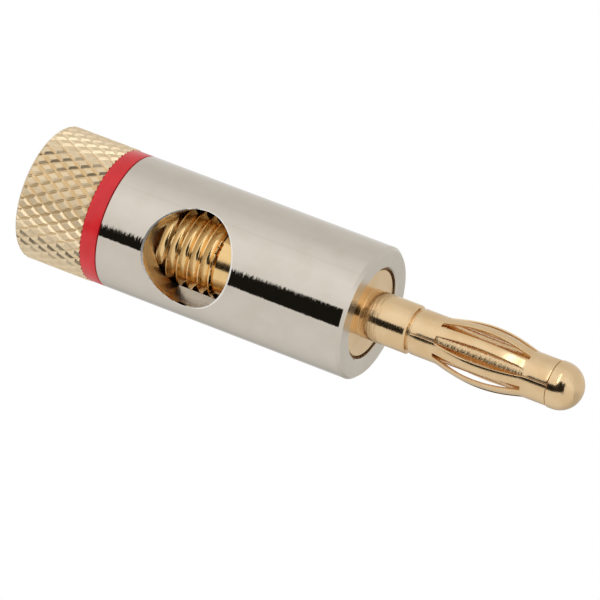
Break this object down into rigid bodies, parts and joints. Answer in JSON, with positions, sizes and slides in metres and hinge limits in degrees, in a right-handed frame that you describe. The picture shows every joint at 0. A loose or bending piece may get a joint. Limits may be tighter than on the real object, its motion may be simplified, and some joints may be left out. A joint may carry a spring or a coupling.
{
  "type": "banana plug",
  "caption": "Banana plug with a knurled thumb screw that clamps a wire through a side hole in the barrel, and a slit spring sleeve round its pin.",
  "frame": {"origin": "centre of the flat back of the thumb screw, which the plug stands on", "axes": "+Z along the plug's axis, from the thumb screw to the pin's nose; the wire hole faces -Y"},
  "size_m": [0.0116, 0.0116, 0.0504],
  "materials": {
    "gold_plate": "bright gold plate over turned brass",
    "nickel_plate": "nickel plate over fine turning marks",
    "red_plastic": "glossy moulded plastic"
  },
  "bodies": {
    "thumb_screw": {"thumb_screw": "gold_plate"},
    "colour_ring": {"colour_ring": "red_plastic"},
    "barrel": {"barrel": "nickel_plate", "banana_pin": "gold_plate"},
    "lantern_spring": {"lantern_spring": "gold_plate"}
  },
  "joints": [
    {"name": "screw_turn", "type": "hinge", "parent": "thumb_screw", "child": "colour_ring", "pos_m": [0, 0, 0.00715], "axis": [0, 0, -1], "range_deg": [0, 3024]},
    {"name": "screw_travel", "type": "slide", "parent": "colour_ring", "child": "barrel", "axis": [0, 0, 1], "range_m": [0, 0.0084]},
    {"name": "spring_spin", "type": "hinge", "parent": "barrel", "child": "lantern_spring", "pos_m": [0, 0, 0.0416], "axis": [0, 0, 1], "continuous": true}
  ],
  "couplings": [
    {"joint": "screw_travel", "follows": "screw_turn", "m_per_rad": 0.00015915}
  ]
}
